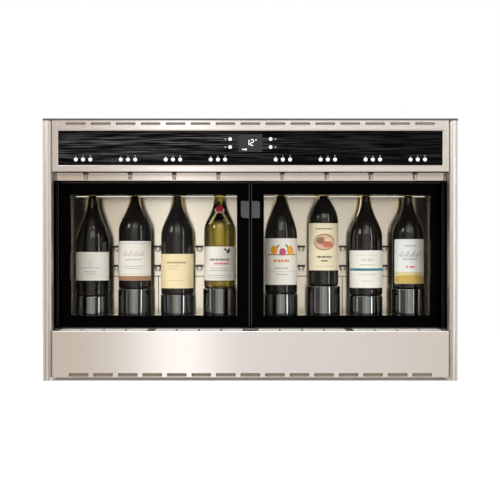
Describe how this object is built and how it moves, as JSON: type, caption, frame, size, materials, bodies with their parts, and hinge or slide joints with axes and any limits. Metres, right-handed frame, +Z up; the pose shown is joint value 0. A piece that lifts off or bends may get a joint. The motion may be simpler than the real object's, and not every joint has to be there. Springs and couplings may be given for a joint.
{
  "type": "wine preservation dispenser",
  "caption": "Countertop wine dispenser with two glass doors, sprung bottle lifters, spouts with dose buttons and a lift-out drip tray.",
  "frame": {"origin": "centre of the footprint, at the worktop", "axes": "front faces -Y, +X to the right seen from the front, +Z up"},
  "size_m": [1.02, 0.39, 0.642],
  "materials": {
    "brushed_steel": "brushed, warm",
    "dark_cover": "satin",
    "zinc_sheet": "matt sheet",
    "black_panel": "black, finely brushed along its length",
    "display_glass": "dark screen",
    "champagne_steel": "satin, warm",
    "polished_steel": "polished",
    "black_plastic": "matt",
    "spring_steel": "drawn wire",
    "cast_parts": "black enamel",
    "black_tray": "satin",
    "black_border": "gloss",
    "clear_glass": "clear",
    "satin_pull": "satin, dark grey",
    "gloss_black": "gloss",
    "button_caps": "bright"
  },
  "bodies": {
    "cabinet": {"side_panels": "brushed_steel", "top_cover": "dark_cover", "base_pan": "zinc_sheet", "rear_panel": "brushed_steel", "upper_fascia": "brushed_steel", "control_panel": "black_panel", "display": "display_glass", "spout_rail": "champagne_steel", "spouts": "polished_steel", "tap_heads": "black_plastic", "gas_manifold": "zinc_sheet", "lower_fascia": "brushed_steel", "chamber_liner": "champagne_steel", "bottle_guides": "polished_steel", "lifter_springs": "spring_steel", "cooling_unit": "cast_parts"},
    "door_left": {"door_frame_left": "black_border", "door_glass_left": "clear_glass", "door_pull_left": "satin_pull"},
    "door_right": {"door_frame_right": "black_border", "door_glass_right": "clear_glass", "door_pull_right": "satin_pull"},
    "lifter_1": {"lifter_1": "gloss_black"},
    "lifter_2": {"lifter_2": "gloss_black"},
    "lifter_3": {"lifter_3": "gloss_black"},
    "lifter_4": {"lifter_4": "gloss_black"},
    "lifter_5": {"lifter_5": "gloss_black"},
    "lifter_6": {"lifter_6": "gloss_black"},
    "lifter_7": {"lifter_7": "gloss_black"},
    "lifter_8": {"lifter_8": "gloss_black"},
    "dose_button_1a": {"dose_button_1a": "button_caps"},
    "dose_button_1b": {"dose_button_1b": "button_caps"},
    "dose_button_1c": {"dose_button_1c": "button_caps"},
    "dose_button_2a": {"dose_button_2a": "button_caps"},
    "dose_button_2b": {"dose_button_2b": "button_caps"},
    "dose_button_2c": {"dose_button_2c": "button_caps"},
    "dose_button_3a": {"dose_button_3a": "button_caps"},
    "dose_button_3b": {"dose_button_3b": "button_caps"},
    "dose_button_3c": {"dose_button_3c": "button_caps"},
    "dose_button_4a": {"dose_button_4a": "button_caps"},
    "dose_button_4b": {"dose_button_4b": "button_caps"},
    "dose_button_4c": {"dose_button_4c": "button_caps"},
    "dose_button_5a": {"dose_button_5a": "button_caps"},
    "dose_button_5b": {"dose_button_5b": "button_caps"},
    "dose_button_5c": {"dose_button_5c": "button_caps"},
    "dose_button_6a": {"dose_button_6a": "button_caps"},
    "dose_button_6b": {"dose_button_6b": "button_caps"},
    "dose_button_6c": {"dose_button_6c": "button_caps"},
    "dose_button_7a": {"dose_button_7a": "button_caps"},
    "dose_button_7b": {"dose_button_7b": "button_caps"},
    "dose_button_7c": {"dose_button_7c": "button_caps"},
    "dose_button_8a": {"dose_button_8a": "button_caps"},
    "dose_button_8b": {"dose_button_8b": "button_caps"},
    "dose_button_8c": {"dose_button_8c": "button_caps"},
    "menu_button_1": {"menu_button_1": "button_caps"},
    "menu_button_2": {"menu_button_2": "button_caps"},
    "menu_button_3": {"menu_button_3": "button_caps"},
    "menu_button_4": {"menu_button_4": "button_caps"},
    "drip_tray": {"drip_tray": "black_tray"},
    "drip_plates": {"drip_plates": "brushed_steel"}
  },
  "joints": [
    {"name": "door_left_hinge", "type": "hinge", "parent": "cabinet", "child": "door_left", "pos_m": [-0.4715, -0.10275, 0.3], "axis": [0, 0, 1], "range_deg": [-90, 0]},
    {"name": "door_right_hinge", "type": "hinge", "parent": "cabinet", "child": "door_right", "pos_m": [0.4715, -0.10275, 0.3], "axis": [0, 0, -1], "range_deg": [-90, 0]},
    {"name": "lifter_1_slide", "type": "slide", "parent": "cabinet", "child": "lifter_1", "axis": [0, 0, 1], "range_m": [-0.033, 0], "stiffness_N_per_m": 200, "springref_m": 0.015, "deforming": ["lifter_springs"]},
    {"name": "lifter_2_slide", "type": "slide", "parent": "cabinet", "child": "lifter_2", "axis": [0, 0, 1], "range_m": [-0.052, 0], "stiffness_N_per_m": 200, "springref_m": 0.015, "deforming": ["lifter_springs"]},
    {"name": "lifter_3_slide", "type": "slide", "parent": "cabinet", "child": "lifter_3", "axis": [0, 0, 1], "range_m": [-0.037, 0], "stiffness_N_per_m": 200, "springref_m": 0.015, "deforming": ["lifter_springs"]},
    {"name": "lifter_4_slide", "type": "slide", "parent": "cabinet", "child": "lifter_4", "axis": [0, 0, 1], "range_m": [-0.053, 0], "stiffness_N_per_m": 200, "springref_m": 0.015, "deforming": ["lifter_springs"]},
    {"name": "lifter_5_slide", "type": "slide", "parent": "cabinet", "child": "lifter_5", "axis": [0, 0, 1], "range_m": [-0.039, 0], "stiffness_N_per_m": 200, "springref_m": 0.015, "deforming": ["lifter_springs"]},
    {"name": "lifter_6_slide", "type": "slide", "parent": "cabinet", "child": "lifter_6", "axis": [0, 0, 1], "range_m": [-0.059, 0], "stiffness_N_per_m": 200, "springref_m": 0.015, "deforming": ["lifter_springs"]},
    {"name": "lifter_7_slide", "type": "slide", "parent": "cabinet", "child": "lifter_7", "axis": [0, 0, 1], "range_m": [-0.034, 0], "stiffness_N_per_m": 200, "springref_m": 0.015, "deforming": ["lifter_springs"]},
    {"name": "lifter_8_slide", "type": "slide", "parent": "cabinet", "child": "lifter_8", "axis": [0, 0, 1], "range_m": [-0.052, 0], "stiffness_N_per_m": 200, "springref_m": 0.015, "deforming": ["lifter_springs"]},
    {"name": "dose_button_1a_press", "type": "slide", "parent": "cabinet", "child": "dose_button_1a", "axis": [0, 1, 0], "range_m": [0, 0.001], "stiffness_N_per_m": 800, "springref_m": -0.0005},
    {"name": "dose_button_1b_press", "type": "slide", "parent": "cabinet", "child": "dose_button_1b", "axis": [0, 1, 0], "range_m": [0, 0.001], "stiffness_N_per_m": 800, "springref_m": -0.0005},
    {"name": "dose_button_1c_press", "type": "slide", "parent": "cabinet", "child": "dose_button_1c", "axis": [0, 1, 0], "range_m": [0, 0.001], "stiffness_N_per_m": 800, "springref_m": -0.0005},
    {"name": "dose_button_2a_press", "type": "slide", "parent": "cabinet", "child": "dose_button_2a", "axis": [0, 1, 0], "range_m": [0, 0.001], "stiffness_N_per_m": 800, "springref_m": -0.0005},
    {"name": "dose_button_2b_press", "type": "slide", "parent": "cabinet", "child": "dose_button_2b", "axis": [0, 1, 0], "range_m": [0, 0.001], "stiffness_N_per_m": 800, "springref_m": -0.0005},
    {"name": "dose_button_2c_press", "type": "slide", "parent": "cabinet", "child": "dose_button_2c", "axis": [0, 1, 0], "range_m": [0, 0.001], "stiffness_N_per_m": 800, "springref_m": -0.0005},
    {"name": "dose_button_3a_press", "type": "slide", "parent": "cabinet", "child": "dose_button_3a", "axis": [0, 1, 0], "range_m": [0, 0.001], "stiffness_N_per_m": 800, "springref_m": -0.0005},
    {"name": "dose_button_3b_press", "type": "slide", "parent": "cabinet", "child": "dose_button_3b", "axis": [0, 1, 0], "range_m": [0, 0.001], "stiffness_N_per_m": 800, "springref_m": -0.0005},
    {"name": "dose_button_3c_press", "type": "slide", "parent": "cabinet", "child": "dose_button_3c", "axis": [0, 1, 0], "range_m": [0, 0.001], "stiffness_N_per_m": 800, "springref_m": -0.0005},
    {"name": "dose_button_4a_press", "type": "slide", "parent": "cabinet", "child": "dose_button_4a", "axis": [0, 1, 0], "range_m": [0, 0.001], "stiffness_N_per_m": 800, "springref_m": -0.0005},
    {"name": "dose_button_4b_press", "type": "slide", "parent": "cabinet", "child": "dose_button_4b", "axis": [0, 1, 0], "range_m": [0, 0.001], "stiffness_N_per_m": 800, "springref_m": -0.0005},
    {"name": "dose_button_4c_press", "type": "slide", "parent": "cabinet", "child": "dose_button_4c", "axis": [0, 1, 0], "range_m": [0, 0.001], "stiffness_N_per_m": 800, "springref_m": -0.0005},
    {"name": "dose_button_5a_press", "type": "slide", "parent": "cabinet", "child": "dose_button_5a", "axis": [0, 1, 0], "range_m": [0, 0.001], "stiffness_N_per_m": 800, "springref_m": -0.0005},
    {"name": "dose_button_5b_press", "type": "slide", "parent": "cabinet", "child": "dose_button_5b", "axis": [0, 1, 0], "range_m": [0, 0.001], "stiffness_N_per_m": 800, "springref_m": -0.0005},
    {"name": "dose_button_5c_press", "type": "slide", "parent": "cabinet", "child": "dose_button_5c", "axis": [0, 1, 0], "range_m": [0, 0.001], "stiffness_N_per_m": 800, "springref_m": -0.0005},
    {"name": "dose_button_6a_press", "type": "slide", "parent": "cabinet", "child": "dose_button_6a", "axis": [0, 1, 0], "range_m": [0, 0.001], "stiffness_N_per_m": 800, "springref_m": -0.0005},
    {"name": "dose_button_6b_press", "type": "slide", "parent": "cabinet", "child": "dose_button_6b", "axis": [0, 1, 0], "range_m": [0, 0.001], "stiffness_N_per_m": 800, "springref_m": -0.0005},
    {"name": "dose_button_6c_press", "type": "slide", "parent": "cabinet", "child": "dose_button_6c", "axis": [0, 1, 0], "range_m": [0, 0.001], "stiffness_N_per_m": 800, "springref_m": -0.0005},
    {"name": "dose_button_7a_press", "type": "slide", "parent": "cabinet", "child": "dose_button_7a", "axis": [0, 1, 0], "range_m": [0, 0.001], "stiffness_N_per_m": 800, "springref_m": -0.0005},
    {"name": "dose_button_7b_press", "type": "slide", "parent": "cabinet", "child": "dose_button_7b", "axis": [0, 1, 0], "range_m": [0, 0.001], "stiffness_N_per_m": 800, "springref_m": -0.0005},
    {"name": "dose_button_7c_press", "type": "slide", "parent": "cabinet", "child": "dose_button_7c", "axis": [0, 1, 0], "range_m": [0, 0.001], "stiffness_N_per_m": 800, "springref_m": -0.0005},
    {"name": "dose_button_8a_press", "type": "slide", "parent": "cabinet", "child": "dose_button_8a", "axis": [0, 1, 0], "range_m": [0, 0.001], "stiffness_N_per_m": 800, "springref_m": -0.0005},
    {"name": "dose_button_8b_press", "type": "slide", "parent": "cabinet", "child": "dose_button_8b", "axis": [0, 1, 0], "range_m": [0, 0.001], "stiffness_N_per_m": 800, "springref_m": -0.0005},
    {"name": "dose_button_8c_press", "type": "slide", "parent": "cabinet", "child": "dose_button_8c", "axis": [0, 1, 0], "range_m": [0, 0.001], "stiffness_N_per_m": 800, "springref_m": -0.0005},
    {"name": "menu_button_1_press", "type": "slide", "parent": "cabinet", "child": "menu_button_1", "axis": [0, 1, 0], "range_m": [0, 0.001], "stiffness_N_per_m": 800, "springref_m": -0.0005},
    {"name": "menu_button_2_press", "type": "slide", "parent": "cabinet", "child": "menu_button_2", "axis": [0, 1, 0], "range_m": [0, 0.001], "stiffness_N_per_m": 800, "springref_m": -0.0005},
    {"name": "menu_button_3_press", "type": "slide", "parent": "cabinet", "child": "menu_button_3", "axis": [0, 1, 0], "range_m": [0, 0.001], "stiffness_N_per_m": 800, "springref_m": -0.0005},
    {"name": "menu_button_4_press", "type": "slide", "parent": "cabinet", "child": "menu_button_4", "axis": [0, 1, 0], "range_m": [0, 0.001], "stiffness_N_per_m": 800, "springref_m": -0.0005},
    {"name": "drip_tray_lift", "type": "slide", "parent": "cabinet", "child": "drip_tray", "axis": [0, 0, 1], "range_m": [0, 0.06]},
    {"name": "drip_plates_lift", "type": "slide", "parent": "drip_tray", "child": "drip_plates", "axis": [0, 0, 1], "range_m": [0, 0.05]}
  ]
}
